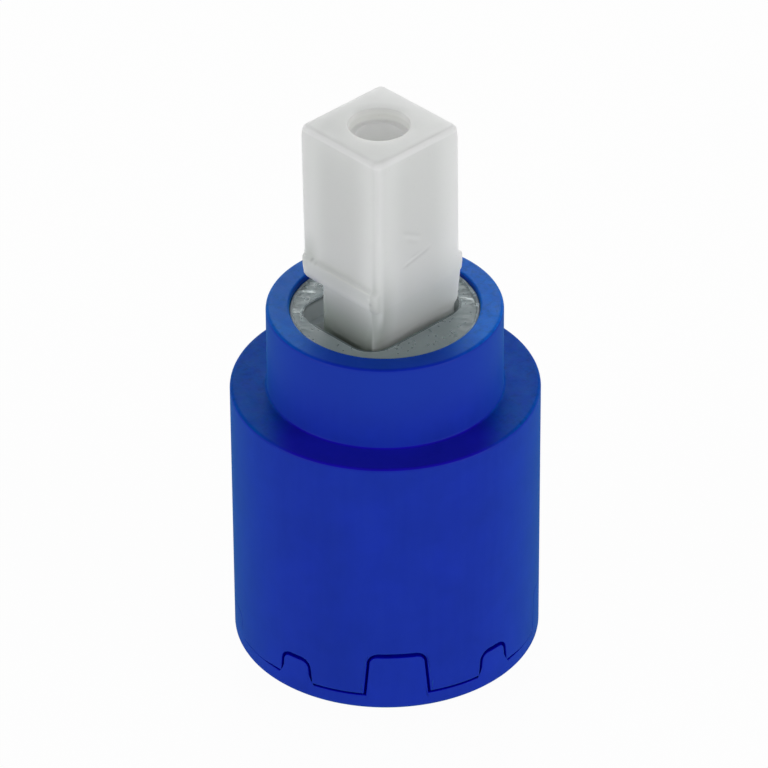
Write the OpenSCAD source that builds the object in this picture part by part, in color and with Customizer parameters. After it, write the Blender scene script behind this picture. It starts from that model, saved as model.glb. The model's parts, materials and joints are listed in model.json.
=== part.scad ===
// Single-lever ceramic-disc mixer cartridge, in millimetres.
// +Z runs up the cartridge's axis from the base's seating face.
// The lever tips towards -X to open, about a pin that lies along Y.

/* [Body] */
// Outside diameter of the body
body_d = 25; // [24.5:0.5:30]
// Wall of the body around the moving parts
body_wall = 1.3; // [1.2:0.1:1.6]
// Height of the shoulder above the seating face
shoulder_z = 23.5; // [23.5:0.5:28.5]
// Thickness of the shoulder
roof_t = 2; // [1.6:0.1:2.4]
// Outside diameter of the neck
neck_d = 19; // [18.4:0.2:19.6]
// Height of the neck above the shoulder
neck_h = 7.4; // [7.4:0.2:9]
// Bore of the neck, where the carrier turns
neck_bore_d = 15.24; // [15.2:0.1:16]
// Bevel along the body's outer edges
edge = 0.25; // [0.15:0.05:0.4]

/* [Base] */
// Height of the flange that closes the body
flange_h = 1.3; // [1:0.1:1.6]
// Height of the base plate, flange included
base_h = 5; // [4.6:0.2:6]
// Wall of the rim around the fixed disc
rim_t = 1.35; // [1.2:0.05:1.6]
// Number of tabs around the base
tab_count = 9; // [7:2:11]
// Width of a narrow tab at its foot
tab_w = 2.75; // [2.2:0.05:3.2]
// Height of a narrow tab above the flange
tab_h = 2; // [1.4:0.1:2.4]
// Width of a wide tab at its foot
wide_tab_w = 5.1; // [4.4:0.1:5.6]
// Height of a wide tab above the flange
wide_tab_h = 3.7; // [3:0.1:4.2]
// Lean of the tabs' sides, in degrees
tab_lean = 7; // [0:1:12]
// Diameter of the locating pegs
peg_d = 2.6; // [2:0.1:3.2]
// Length of the locating pegs below the seating face
peg_h = 2; // [1.4:0.1:2.4]
// Distance of the pegs from the axis
peg_r = 9.8; // [9.4:0.1:10.2]

/* [Ports] */
// Distance of the inlets' centres from the axis along X
inlet_x = 2.9; // [2.8:0.1:3.4]
// Distance of the inlets' centres from the axis along Y
inlet_y = 3.4; // [3.3:0.1:3.8]
// Diameter of an inlet in the base
inlet_d = 3.8; // [3.2:0.1:4]
// Distance of the outlet's centre from the axis, behind it
outlet_x = 3.4; // [3.3:0.1:3.8]
// Diameter of the outlet in the base
outlet_d = 5; // [4.2:0.1:5.2]
// Width of a seal ring
seal_w = 0.9; // [0.7:0.05:0.95]
// Depth of a seal's groove
groove_h = 1.2; // [0.9:0.1:1.6]
// Height of a seal above its groove
seal_proud = 0.25; // [0.15:0.05:0.4]

/* [Discs] */
// Thickness of a ceramic disc
disc_t = 3; // [2.6:0.2:3.6]
// Diameter of the moving disc's window at each end
window_d = 5; // [4.6:0.1:5]
// Length of the window between its end centres
window_l = 2.6; // [2.2:0.1:3]
// Thickness of the disc driver's plate
driver_t = 2.7; // [2.5:0.1:3.2]

/* [Lever] */
// Width of the lever's square stem
stem_w = 8.84; // [8:0.02:9.2]
// Height of the stem's top above the neck
stem_h = 16.6; // [15:0.2:20]
// Set-back of the stem's centre behind the axis
stem_back = 0.5; // [0.3:0.05:0.7]
// Height of the stem's lower end above the neck
foot_rise = 3; // [2.8:0.1:3.4]
// Height of the ledge around the stem's lower end
ledge_h = 1.65; // [1.2:0.05:2]
// Width of the lever's foot along the pin
foot_w = 9.66; // [9:0.02:9.8]
// Distance of the foot's front face from the axis
foot_front = 3.5; // [3.3:0.05:3.7]
// Distance of the foot's back face from the axis
foot_back = 2.5; // [2.2:0.05:2.7]
// Diameter of the lever's pin
pin_d = 3; // [2.4:0.1:3.6]
// Height of the pin's axis above the shoulder
pin_rise = 1.8; // [1.8:0.1:2.2]
// Diameter of the ball at the lever's lower end
ball_d = 3.7; // [3.3:0.1:3.9]
// Diameter of the hole for the handle's screw
screw_d = 3.7; // [2.8:0.1:4.2]
// Depth of the hole for the handle's screw
screw_l = 12; // [9:0.5:13]
// Lean of the lever when closed, towards +X, in degrees
tilt_close = 4; // [0:1:5]
// Lean of the lever when fully open, towards -X, in degrees
tilt_open = 21; // [16:1:22]

/* [Carrier] */
// Turn of the carrier to each side, in degrees
turn = 50; // [40:5:55]
// Depth of the carrier's top below the neck's top
collar_drop = 0.55; // [0.4:0.05:0.8]
// Width of the slot that the lever stands in
slot_w = 10.9; // [10.6:0.1:11]
// Radius of the slot's corners
slot_r = 2; // [1.6:0.1:2.2]
// Thickness of the thrust ring
thrust_t = 0.6; // [0.5:0.1:1]

/* [Clearances] */
// Gap between flat faces that slide
film = 0.02; // [0.01:0.01:0.04]
// Radial gap of a pin that turns
pin_gap = 0.03; // [0.02:0.01:0.06]
// Gap beside parts that slide or drop in
side_gap = 0.1; // [0.08:0.01:0.14]
// Gap around the lever at its stops
stop_gap = 0.25; // [0.2:0.05:0.4]
// Gap of the collar in the neck
collar_gap = 0.12; // [0.08:0.01:0.2]
// Gap above a tab in its notch
tab_top_gap = 0.25; // [0.1:0.05:0.35]

/* [Hidden] */
$fn = 96;
eps = 0.5; // how far a cut runs past the solid that it cuts

body_r = body_d / 2;
bore_r = body_r - body_wall;
neck_r = neck_d / 2;
neck_bore_r = neck_bore_d / 2;
neck_z = shoulder_z + neck_h;
roof_z = shoulder_z - roof_t;

// base and the notches in the body
plate_r = bore_r - side_gap / 2;
rim_r = plate_r - rim_t;
tab_corner = 0.6;
tab_foot = 0.4; // how far a tab reaches into the base's rim
bead_h = 0.25; // how far the snap bead stands out
bead_root = 0.4; // half height of the bead where it leaves the rim
bead_tip = 0.15; // half height of its flat tip
bead_sink = 0.5; // how far it starts inside the rim
key_w = 3;
key_l = 1.3; // how far a key reaches in from the rim
seam = side_gap / 2;
seal_bore_gap = 0.35; // wall between a port and its seal
peg_angle = 135; // from the inlets' side, to each side

// stack of discs from the base up
fixed_z = base_h + seal_proud;
moving_z = fixed_z + disc_t + film;
driver_z = moving_z + disc_t;
rim_z = moving_z - film - disc_t / 4; // the rim ends below the fixed disc's top
bead_z = (flange_h + wide_tab_h + rim_z) / 2 + 0.2;
carrier_z = driver_z + driver_t + side_gap;
carrier_top = roof_z - thrust_t - 2 * film;
roof_web = 0.9; // height from the cavity's roof to the carrier's shoulder
cavity_z = carrier_top - roof_web;
block_z = cavity_z - 2 * side_gap;

// lever, its pin and its throw
pin_z = shoulder_z + pin_rise;
pin_r = pin_d / 2;
collar_r = neck_bore_r - collar_gap;
collar_z = neck_z - collar_drop;
ball_r = ball_d / 2;
ball_gap = 0.06;
ball_z = block_z - 1;
arm = pin_z - ball_z;
throw_open = arm * sin(tilt_open);
throw_close = arm * sin(tilt_close);
foot_z = neck_z + foot_rise;
stem_z = neck_z + stem_h;
foot_edge = 0.9; // rounding of the foot's upright edges
stem_edge = 0.35; // rounding of the stem's upright edges
ledge_left = 0.36; // how far the ledge stands out on the -Y side
ledge_right = 0.57; // how far the ledge stands out on the +Y side
shank_x = 1.3; // half thickness of the shank between hub and ball
shank_y = 2; // half width of the shank
head_gap = 0.58; // widening of the screw hole at its mouth
head_l = 1; // depth of that widening

// slot: the lever's faces meet its edges just past the ends of the travel
above_pin = collar_z - pin_z;
slot_front = foot_front * cos(tilt_close) + above_pin * sin(tilt_close) + stop_gap;
slot_back = (foot_back + stop_gap + above_pin * sin(tilt_open)) / cos(tilt_open);
cheek_y = foot_w / 2 + side_gap;
cheek_rise = 3.3; // height above the pin where the slot narrows to its cheeks
cheek_z = pin_z + cheek_rise;
cheek_corner = 0.4;
throat_back = (foot_back + cheek_rise * sin(tilt_open)) / cos(tilt_open) + stop_gap;

// driver: its travel is centred on the axis
driver_x = -(throw_open - throw_close) / 2;
driver_reach = (throw_open + throw_close) / 2;
driver_r = bore_r - driver_reach - 4 * side_gap;
moving_r = driver_r - 4 * side_gap;
block_x = 4.6; // half length of the driver's block
block_y = 5; // half width of the driver's block
block_corner = 0.8;
cavity_x = block_x + driver_reach + 1.5 * side_gap;
pocket_y = 2.4; // half width of the ball's pocket
throat_y = pocket_y + 2 * side_gap; // half width of the throat where the ball swings
claw_w = 3.8;
claw_l = 1.4; // how far a claw reaches in from the moving disc's edge
window_x = driver_x - window_l; // centre of the window's rear end
chamber_h = 2; // depth of the mixing chamber in the driver
chamber_wall = 0.6; // wall between the chamber and its seal
chamber_seal_h = 1;
silencer_h = 1.2;
silencer_pitch = 1.15;
silencer_hole_r = 0.35;

// rotation stop
stop_half = 10; // half angle of the rib, in degrees
stop_play = 2; // free angle past each end of the turn, in degrees
rib_l = 1.2; // how far the rib stands in from the body's wall
rib_root = 0.2; // how far it starts inside that wall
flange_gap = 0.6; // gap around the carrier's flange
flange_r = bore_r - flange_gap;

// ring that drags on the neck's bore
o_ring_r = 0.44;
o_ring_z = cheek_z - 0.85;
o_ring_gap = 0.04;
pin_recess = 0.35; // set-back of the pin's ends inside the collar

// oval outline between two centres on the X axis
module oval(x_a, x_b, r) {
    translate([x_a, 0]) circle(r);
    translate([x_b, 0]) circle(r);
    translate([x_a, -r]) square([x_b - x_a, 2 * r]);
}

// rectangle with round corners
module round_rect(x_a, x_b, y_a, y_b, r) {
    translate([x_a + r, y_a]) square([x_b - x_a - 2 * r, y_b - y_a]);
    translate([x_a, y_a + r]) square([x_b - x_a, y_b - y_a - 2 * r]);
    for (x = [x_a + r, x_b - r], y = [y_a + r, y_b - r]) translate([x, y]) circle(r);
}

// box from two opposite corners
module span(low, high) {
    translate(low) cube(high - low);
}

// round bar along Y
module bar_y(r, y_a, y_b) {
    translate([0, y_a, 0]) rotate([-90, 0, 0]) cylinder(r = r, h = y_b - y_a);
}

// points along an arc, both ends included
function arc(x, y, r, a_from, a_to, steps) =
    [for (i = [0 : steps]) let (a = a_from + (a_to - a_from) * i / steps) [x + r * cos(a), y + r * sin(a)]];

// outline of a tab, seen from outside: leaning sides and round upper corners
module tab_outline(w, h) {
    top = w / 2 - h * tan(tab_lean);
    centre = top - tab_corner * tan((90 - tab_lean) / 2);
    z = h - tab_corner;
    polygon(concat([[-w / 2, 0], [w / 2, 0]], arc(centre, z, tab_corner, tab_lean, 90, 5),
                   arc(-centre, z, tab_corner, 90, 180 - tab_lean, 5)));
}

// one tab as a bar that runs outwards from radius r_a
module tab(i, r_a, side, above) {
    pitch = 360 / tab_count;
    wide = i == 1 || i == tab_count - 1;
    w = wide ? wide_tab_w : tab_w;
    h = wide ? wide_tab_h : tab_h;
    rotate([0, 0, i * pitch]) translate([r_a, 0, flange_h]) rotate([90, 0, 90])
        linear_extrude(body_r + eps - r_a) tab_outline(w + 2 * side, h + above);
}

// profile of the snap bead, grown by a gap
module bead(gap) {
    tip_r = plate_r + bead_h + gap / 2;
    low = bead_z - gap;
    high = bead_z + gap;
    polygon([[plate_r - bead_sink, low - bead_root], [plate_r, low - bead_root],
             [tip_r, low - bead_tip], [tip_r, high + bead_tip],
             [plate_r, high + bead_root], [plate_r - bead_sink, high + bead_root]]);
}

module housing() {
    color([0.09, 0.18, 0.62]) {
        difference() {
            rotate_extrude() polygon([
                [bore_r, flange_h + seam], [body_r, flange_h + seam],
                [body_r, shoulder_z - edge], [body_r - edge, shoulder_z],
                [neck_r, shoulder_z], [neck_r, neck_z - edge], [neck_r - edge, neck_z],
                [neck_bore_r + edge, neck_z], [neck_bore_r, neck_z - edge],
                [neck_bore_r, roof_z], [bore_r, roof_z]]);
            rotate_extrude() bead(side_gap);
            for (i = [0 : tab_count - 1]) tab(i, rim_r, side_gap, tab_top_gap);
        }
        // rib that stops the carrier's turn
        translate([0, 0, carrier_z + eps]) rotate([0, 0, 180 - stop_half])
            rotate_extrude(angle = 2 * stop_half) translate([bore_r - rib_l, 0])
            square([rib_l + rib_root, carrier_top - carrier_z - 2 * eps]);
    }
}

// seal ring around a port, standing on height z
module seal(x, y, d, z, h) {
    r = d / 2 + seal_bore_gap;
    translate([x, y, z]) rotate_extrude() translate([r, 0]) square([seal_w, h]);
}

// groove for that ring
module groove(x, y, d, z, h) {
    r = d / 2 + seal_bore_gap - film;
    translate([x, y, z]) rotate_extrude() translate([r, 0]) square([seal_w + 2 * film, h]);
}

// seal ring below the base, with a round lip
module lip_seal(x, y, d) {
    r = d / 2 + seal_bore_gap;
    translate([x, y, 0]) rotate_extrude() {
        translate([r, seal_w / 2 - seal_proud]) square([seal_w, groove_h - seal_w / 2 + seal_proud]);
        translate([r + seal_w / 2, seal_w / 2 - seal_proud]) circle(seal_w / 2);
    }
}

module base() {
    color([0.08, 0.17, 0.58]) {
        difference() {
            union() {
                rotate_extrude() {
                    polygon([[0, 0], [body_r - edge, 0], [body_r, edge], [body_r, flange_h],
                             [plate_r, flange_h], [plate_r, rim_z], [rim_r, rim_z],
                             [rim_r, base_h], [0, base_h]]);
                    bead(0);
                }
                intersection() {
                    for (i = [0 : tab_count - 1]) tab(i, plate_r - tab_foot, 0, 0);
                    cylinder(r = body_r, h = shoulder_z);
                }
                for (s = [-1, 1]) scale([1, s, 1])
                    span([-key_w / 2, rim_r - key_l, base_h - eps], [key_w / 2, rim_r + eps, rim_z]);
                for (s = [-1, 1]) rotate([0, 0, s * peg_angle])
                    translate([peg_r, 0, -peg_h]) cylinder(d = peg_d, h = peg_h + eps);
            }
            for (s = [-1, 1]) {
                translate([inlet_x, s * inlet_y, -eps]) cylinder(d = inlet_d, h = base_h + 2 * eps);
                groove(inlet_x, s * inlet_y, inlet_d, base_h - groove_h, groove_h + eps);
                groove(inlet_x, s * inlet_y, inlet_d, -eps, groove_h + eps);
            }
            translate([-outlet_x, 0, -eps]) cylinder(d = outlet_d, h = base_h + 2 * eps);
            groove(-outlet_x, 0, outlet_d, base_h - groove_h, groove_h + eps);
            groove(-outlet_x, 0, outlet_d, -eps, groove_h + eps);
        }
    }
}

module base_seal_hot() {
    color([0.08, 0.08, 0.09]) lip_seal(inlet_x, inlet_y, inlet_d);
}

module base_seal_cold() {
    color([0.08, 0.08, 0.09]) lip_seal(inlet_x, -inlet_y, inlet_d);
}

module base_seal_outlet() {
    color([0.08, 0.08, 0.09]) lip_seal(-outlet_x, 0, outlet_d);
}

module disc_seal_hot() {
    color([0.1, 0.1, 0.11]) seal(inlet_x, inlet_y, inlet_d, base_h - groove_h, groove_h + seal_proud);
}

module disc_seal_cold() {
    color([0.1, 0.1, 0.11]) seal(inlet_x, -inlet_y, inlet_d, base_h - groove_h, groove_h + seal_proud);
}

module disc_seal_outlet() {
    color([0.1, 0.1, 0.11]) seal(-outlet_x, 0, outlet_d, base_h - groove_h, groove_h + seal_proud);
}

module fixed_disc() {
    disc_r = rim_r - 1.5 * side_gap;
    disc_inlet_r = inlet_d / 2 - 2 * side_gap;
    disc_outlet_r = outlet_d / 2 - 2 * side_gap;
    color([0.94, 0.93, 0.9]) difference() {
        translate([0, 0, fixed_z]) cylinder(r = disc_r, h = disc_t);
        for (s = [-1, 1]) {
            translate([inlet_x, s * inlet_y, fixed_z - eps]) cylinder(r = disc_inlet_r, h = disc_t + 2 * eps);
            scale([1, s, 1]) span([-key_w / 2 - side_gap, rim_r - key_l - side_gap, fixed_z - eps],
                                  [key_w / 2 + side_gap, body_r, fixed_z + disc_t + eps]);
        }
        translate([-outlet_x, 0, fixed_z - eps]) cylinder(r = disc_outlet_r, h = disc_t + 2 * eps);
    }
}

module moving_disc() {
    color([0.93, 0.92, 0.89]) difference() {
        translate([driver_x, 0, moving_z]) cylinder(r = moving_r, h = disc_t);
        translate([0, 0, moving_z - eps]) linear_extrude(disc_t + 2 * eps)
            oval(window_x, driver_x, window_d / 2);
        for (s = [-1, 1]) scale([1, s, 1])
            span([driver_x - claw_w / 2 - side_gap / 2, moving_r - claw_l, moving_z - eps],
                 [driver_x + claw_w / 2 + side_gap / 2, body_r, moving_z + disc_t + eps]);
    }
}

module silencer() {
    z = driver_z + chamber_h - silencer_h;
    color([0.85, 0.85, 0.82]) difference() {
        translate([0, 0, z]) linear_extrude(silencer_h)
            oval(window_x, driver_x, window_d / 2 - side_gap / 2);
        for (i = [-2 : 2], j = [-1 : 1])
            translate([(window_x + driver_x) / 2 + i * silencer_pitch, j * silencer_pitch, z - eps])
                cylinder(r = silencer_hole_r, h = silencer_h + 2 * eps);
    }
}

// outline of the ring groove around the mixing chamber
module chamber_ring(gap) {
    r = window_d / 2 + chamber_wall;
    difference() {
        oval(window_x, driver_x, r + seal_w + gap);
        oval(window_x, driver_x, r - gap);
    }
}

module chamber_seal() {
    color([0.1, 0.1, 0.11]) translate([0, 0, driver_z]) linear_extrude(chamber_seal_h) chamber_ring(0);
}

module disc_driver() {
    claw_y = moving_r - claw_l + side_gap / 2;
    pocket_x = ball_r + ball_gap;
    claw_top = driver_z + eps;
    color([0.9, 0.9, 0.86]) difference() {
        union() {
            translate([driver_x, 0, driver_z]) cylinder(r = driver_r, h = driver_t);
            translate([0, 0, driver_z + driver_t - eps])
                linear_extrude(block_z - driver_z - driver_t + eps)
                round_rect(driver_x - block_x, driver_x + block_x, -block_y, block_y, block_corner);
            // claws that carry the moving disc
            intersection() {
                translate([driver_x, 0, 0]) cylinder(r = driver_r, h = claw_top);
                for (s = [-1, 1]) scale([1, s, 1])
                    span([driver_x - claw_w / 2, claw_y, moving_z + eps],
                         [driver_x + claw_w / 2, body_r, claw_top]);
            }
        }
        translate([0, 0, driver_z - eps]) linear_extrude(chamber_h + eps)
            oval(window_x, driver_x, window_d / 2);
        translate([0, 0, driver_z - eps]) linear_extrude(chamber_seal_h + eps) chamber_ring(film);
        // pocket for the lever's ball
        span([-pocket_x, -pocket_y, ball_z - ball_r - 2 * side_gap], [pocket_x, pocket_y, block_z + eps]);
    }
}

module lever_carrier() {
    throat_z = ball_z + ball_r + 1.25;
    groove_floor = neck_bore_r - o_ring_gap - 2 * o_ring_r - 0.03;
    recess_half = stop_half + turn + stop_play;
    color([0.44, 0.47, 0.46]) difference() {
        rotate_extrude() polygon([
            [0, carrier_z], [flange_r, carrier_z], [flange_r, carrier_top], [collar_r, carrier_top],
            [collar_r, collar_z - edge], [collar_r - edge, collar_z], [0, collar_z]]);
        // slot for the lever, with its cheeks and the throat below
        translate([0, 0, cheek_z]) linear_extrude(collar_z - cheek_z + eps)
            round_rect(-slot_back, slot_front, -slot_w / 2, slot_w / 2, slot_r);
        translate([0, 0, cavity_z - eps]) linear_extrude(cheek_z - cavity_z + 2 * eps)
            round_rect(-throat_back, slot_front, -cheek_y, cheek_y, cheek_corner);
        span([-throat_back, -throat_y, cavity_z - eps], [slot_front + eps, throat_y, throat_z]);
        // space for the driver's block, and the bore for the lever's pin
        span([-cavity_x, -block_y - side_gap, carrier_z - eps], [cavity_x, block_y + side_gap, cavity_z]);
        translate([0, 0, pin_z]) bar_y(pin_r + film, -body_r, body_r);
        translate([0, 0, o_ring_z]) rotate_extrude() translate([groove_floor, -o_ring_r - side_gap])
            square([collar_r - groove_floor + eps, 2 * (o_ring_r + side_gap)]);
        // the rotation stop runs in this recess
        rotate([0, 0, 180 - recess_half]) rotate_extrude(angle = 2 * recess_half)
            translate([bore_r - rib_l - 2 * side_gap, carrier_z - eps])
            square([rib_l + eps, carrier_top - carrier_z + 2 * eps]);
    }
}

module carrier_o_ring() {
    color([0.1, 0.1, 0.11]) translate([0, 0, o_ring_z]) rotate_extrude()
        translate([neck_bore_r - o_ring_gap - o_ring_r, 0]) circle(o_ring_r);
}

module thrust_ring() {
    color([0.95, 0.95, 0.93]) translate([0, 0, carrier_top + film]) difference() {
        cylinder(r = flange_r - 2 * side_gap, h = thrust_t);
        translate([0, 0, -eps]) cylinder(r = collar_r + 2 * side_gap, h = thrust_t + 2 * eps);
    }
}

module lever_pin() {
    half = collar_r - pin_recess;
    color([0.72, 0.73, 0.75]) translate([0, 0, pin_z]) bar_y(pin_r, -half, half);
}

module lever() {
    half = stem_w / 2;
    foot_y = foot_w / 2;
    flare_z = collar_z + 0.05; // the foot widens towards the stem above this height
    slice = 0.01;
    color([0.86, 0.87, 0.85]) difference() {
        union() {
            translate([0, 0, foot_z]) linear_extrude(stem_z - foot_z)
                round_rect(-stem_back - half, half - stem_back, -half, half, stem_edge);
            translate([0, 0, foot_z]) linear_extrude(ledge_h)
                round_rect(-stem_back - half, half - stem_back,
                           -half - ledge_left, half + ledge_right, stem_edge);
            // foot: straight in the slot, its front face leaning out to meet the stem
            translate([0, 0, pin_z]) linear_extrude(flare_z - pin_z)
                round_rect(-foot_back, foot_front, -foot_y, foot_y, foot_edge);
            hull() {
                translate([0, 0, flare_z]) linear_extrude(slice)
                    round_rect(-foot_back, foot_front, -foot_y, foot_y, foot_edge, $fn = 32);
                translate([0, 0, foot_z]) linear_extrude(slice)
                    round_rect(-foot_back, half - stem_back, -half - ledge_left, half + ledge_left,
                               stem_edge, $fn = 32);
            }
            // hub around the pin, shank and ball
            translate([0, 0, pin_z]) bar_y(foot_front, -foot_y, foot_y);
            span([-shank_x, -shank_y, ball_z], [shank_x, shank_y, pin_z]);
            translate([0, 0, ball_z]) sphere(ball_r);
        }
        translate([0, 0, pin_z]) bar_y(pin_r + pin_gap, -body_r, body_r);
        translate([-stem_back, 0, stem_z - head_l]) cylinder(r = screw_d / 2 + head_gap, h = head_l + eps);
        translate([-stem_back, 0, stem_z - head_l - screw_l])
            cylinder(d = screw_d, h = screw_l + head_l + eps);
    }
}

housing();
base();
base_seal_hot();
base_seal_cold();
base_seal_outlet();
disc_seal_hot();
disc_seal_cold();
disc_seal_outlet();
fixed_disc();
moving_disc();
silencer();
chamber_seal();
disc_driver();
lever_carrier();
carrier_o_ring();
thrust_ring();
lever_pin();
lever();
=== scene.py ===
"""A single-lever mixer cartridge: its visible skins and finishes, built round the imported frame.

Lengths in this file are in millimetres unless a name says otherwise, and skin() turns them into metres.
+Z runs up the cartridge's axis from its seating face, and the lever tips towards -X.
"""
import json
import math

import bpy
import numpy as np
from bpy.props import FloatProperty, FloatVectorProperty, IntProperty, PointerProperty
from mathutils import Matrix, Vector


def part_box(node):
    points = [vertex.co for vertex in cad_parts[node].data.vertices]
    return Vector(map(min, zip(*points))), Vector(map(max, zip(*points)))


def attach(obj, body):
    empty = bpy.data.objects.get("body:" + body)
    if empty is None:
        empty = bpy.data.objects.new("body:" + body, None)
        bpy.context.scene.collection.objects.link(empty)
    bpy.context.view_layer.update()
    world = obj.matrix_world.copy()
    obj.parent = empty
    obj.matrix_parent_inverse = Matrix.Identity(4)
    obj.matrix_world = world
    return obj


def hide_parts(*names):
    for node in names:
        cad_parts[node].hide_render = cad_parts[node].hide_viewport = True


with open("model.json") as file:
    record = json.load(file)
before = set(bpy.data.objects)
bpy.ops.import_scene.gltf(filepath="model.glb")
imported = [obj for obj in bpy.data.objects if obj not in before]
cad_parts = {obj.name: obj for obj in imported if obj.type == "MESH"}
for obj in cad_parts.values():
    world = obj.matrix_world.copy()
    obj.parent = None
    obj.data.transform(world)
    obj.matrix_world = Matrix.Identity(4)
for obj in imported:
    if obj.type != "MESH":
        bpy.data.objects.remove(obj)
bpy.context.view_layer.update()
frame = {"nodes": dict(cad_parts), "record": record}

bl_info = {
    "name": "Mixer cartridge",
    "version": (1, 0, 0),
    "blender": (4, 5, 0),
    "location": "3D View > Sidebar > Cartridge",
    "description": "Builds the visible skins and finishes of a single-lever mixer cartridge",
    "category": "Add Mesh",
}

MM = 0.001


def node_box(name):
    """Lowest and highest corner of a frame node, in millimetres."""
    low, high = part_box(name)
    return np.array(low) / MM, np.array(high) / MM


def mount(name):
    """One of the record's mounts."""
    return next(m for m in frame["record"]["mounts"] if m["name"] == name)


BODY_R = mount("body_od")["dims"]["r_mm"]
INSIDE_R = BODY_R - 0.03  # a face nearer the axis than this is not on the outer wall
NECK_R = mount("neck_od")["dims"]["r_mm"]
SHOULDER_Z = mount("shoulder_face")["pos_m"][2] / MM
NECK_Z = node_box("housing")[1][2]
BASE_LOW, BASE_HIGH = node_box("base")
COLLAR_Z = node_box("lever_carrier")[1][2]
COLLAR_R = NECK_R - 2.18  # at its top, inside the neck
PIN_LOW, PIN_HIGH = node_box("lever_pin")
PIN_Z = (PIN_LOW[2] + PIN_HIGH[2]) / 2
LEVER_LOW, LEVER_HIGH = node_box("lever")
LEVER_TOP = LEVER_HIGH[2]

# the stem's -X and +X faces, its middle and its underside
STEM_LOW_X, STEM_HIGH_X = round(LEVER_LOW[0], 2), round(LEVER_HIGH[0], 2)
STEM_X = (STEM_LOW_X + STEM_HIGH_X) / 2
STEM_LOW_Z = NECK_Z + 3


# Grids and profiles

def skin(name, rings, wrap=False, low_pole=None, high_pole=None):
    """A mesh through rings of points.

    rings is an array of rows, points and xyz. Each row closes on itself. The rows run on from one to
    the next, and back to the first if wrap is set; a pole closes the first or last row to one point.
    """
    rows, count = rings.shape[:2]
    index = np.arange(rows * count).reshape(rows, count)
    if wrap:
        index = np.vstack([index, index[:1]])
    here, there = index[:-1], index[1:]
    quads = np.stack([here, np.roll(here, -1, 1), np.roll(there, -1, 1), there], -1).reshape(-1, 4)
    points = rings.reshape(-1, 3)
    fans = []
    for pole, row, turn in ((low_pole, index[0], -1), (high_pole, index[-1], 1)):
        if pole is not None:
            tip = np.full(count, len(points))
            points = np.vstack([points, pole])
            fans.append(np.stack([tip, row, np.roll(row, -1)][::turn], -1))
    triangles = np.vstack(fans) if fans else np.zeros((0, 3), int)
    faces = [quads[:, [0, 1, 2]], quads[:, [0, 2, 3]], triangles]
    a, b, c = (points[np.vstack(faces)[:, k]] for k in range(3))
    if np.einsum("ij,ij->", a, np.cross(b, c)) < 0:
        quads, triangles = quads[:, ::-1], triangles[:, ::-1]
    mesh = bpy.data.meshes.new(name)
    mesh.from_pydata((points * MM).tolist(), [], quads.tolist() + triangles.tolist())
    mesh.shade_smooth()
    mesh.update()
    obj = bpy.data.objects.new(name, mesh)
    bpy.context.scene.collection.objects.link(obj)
    return obj


def finish_faces(obj, finishes, pick):
    """Gives obj its finishes, each face the one that pick numbers from face centres and normals."""
    mesh = obj.data
    centre, normal = np.empty(len(mesh.polygons) * 3), np.empty(len(mesh.polygons) * 3)
    mesh.polygons.foreach_get("center", centre)
    mesh.polygons.foreach_get("normal", normal)
    mesh.materials.clear()
    for made in finishes:
        mesh.materials.append(made)
    picked = pick(centre.reshape(-1, 3) / MM, normal.reshape(-1, 3))
    mesh.polygons.foreach_set("material_index", picked.astype(np.int32))


def blend_rows(start, end, steps):
    """Rows that run evenly from start to end, both left out."""
    share = np.linspace(0, 1, steps + 2)[1:-1, None, None]
    return start[None] * (1 - share) + end[None] * share


def corner_arc(before, corner, after, radius):
    """Points of the fillet of that radius at a profile's corner, with a support point on each side."""
    before, corner, after = (np.array(p, float) for p in (before, corner, after))
    a = (before - corner) / np.linalg.norm(before - corner)
    b = (after - corner) / np.linalg.norm(after - corner)
    half = math.acos(np.clip(a @ b, -1, 1)) / 2
    reach = radius / math.tan(half)
    middle = corner + (a + b) / np.linalg.norm(a + b) * radius / math.sin(half)
    start, end = corner + a * reach, corner + b * reach
    share = np.linspace(0, 1, 6)[:, None]
    angle = math.pi - 2 * half
    arc = (np.sin((1 - share) * angle) * (start - middle) + np.sin(share * angle) * (end - middle))
    arc = arc / math.sin(angle) + middle
    support = min(0.3 * radius, 0.06)
    return np.vstack([start + a * support, arc, end + b * support])


def profile(corners):
    """A polyline through corners of (r, z, fillet radius), with a fillet where the radius isn't 0."""
    parts = [np.array([corners[0][:2]])]
    for before, corner, after in zip(corners, corners[1:], corners[2:]):
        if corner[2]:
            parts.append(corner_arc(before[:2], corner[:2], after[:2], corner[2]))
        else:
            parts.append(np.array([corner[:2]]))
    parts.append(np.array([corners[-1][:2]]))
    return np.vstack(parts)


def turned(line, angles):
    """Rows of points of a profile of (r, z), turned about Z to each angle."""
    r, z = line[:, :1], line[:, 1:]
    return np.stack([r * np.cos(angles), r * np.sin(angles), z + 0 * angles[None]], -1)


def value_noise(x, y, seed):
    """Smooth noise from 0 to 1: random values on a unit grid, eased from each to the next."""
    repeat = 64
    table = np.random.default_rng(seed).random((repeat, repeat))
    cell_x, cell_y = np.floor(x).astype(int), np.floor(y).astype(int)
    fx, fy = x - cell_x, y - cell_y
    fx, fy = fx * fx * (3 - 2 * fx), fy * fy * (3 - 2 * fy)

    def row(j):
        left, right = (table[(cell_x + i) % repeat, (cell_y + j) % repeat] for i in (0, 1))
        return left * (1 - fx) + right * fx

    return row(0) * (1 - fy) + row(1) * fy


def ease(value, start, end):
    """0 below start, 1 above end, and a smooth step between."""
    share = np.clip((value - start) / (end - start), 0, 1)
    return share * share * (3 - 2 * share)


def diagonal(x, y):
    """How far a point lies along the diagonal towards +X +Y, and across it towards +X -Y."""
    return 0.69 * x + 0.72 * y, 0.72 * x - 0.69 * y


# Settings a user may change

def number(name, description, default):
    """A number among the settings."""
    return FloatProperty(name=name, description=description, default=default)


def angle_of(name, description, degrees):
    """An angle among the settings."""
    return FloatProperty(name=name, description=description, default=math.radians(degrees), subtype="ANGLE")


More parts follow.
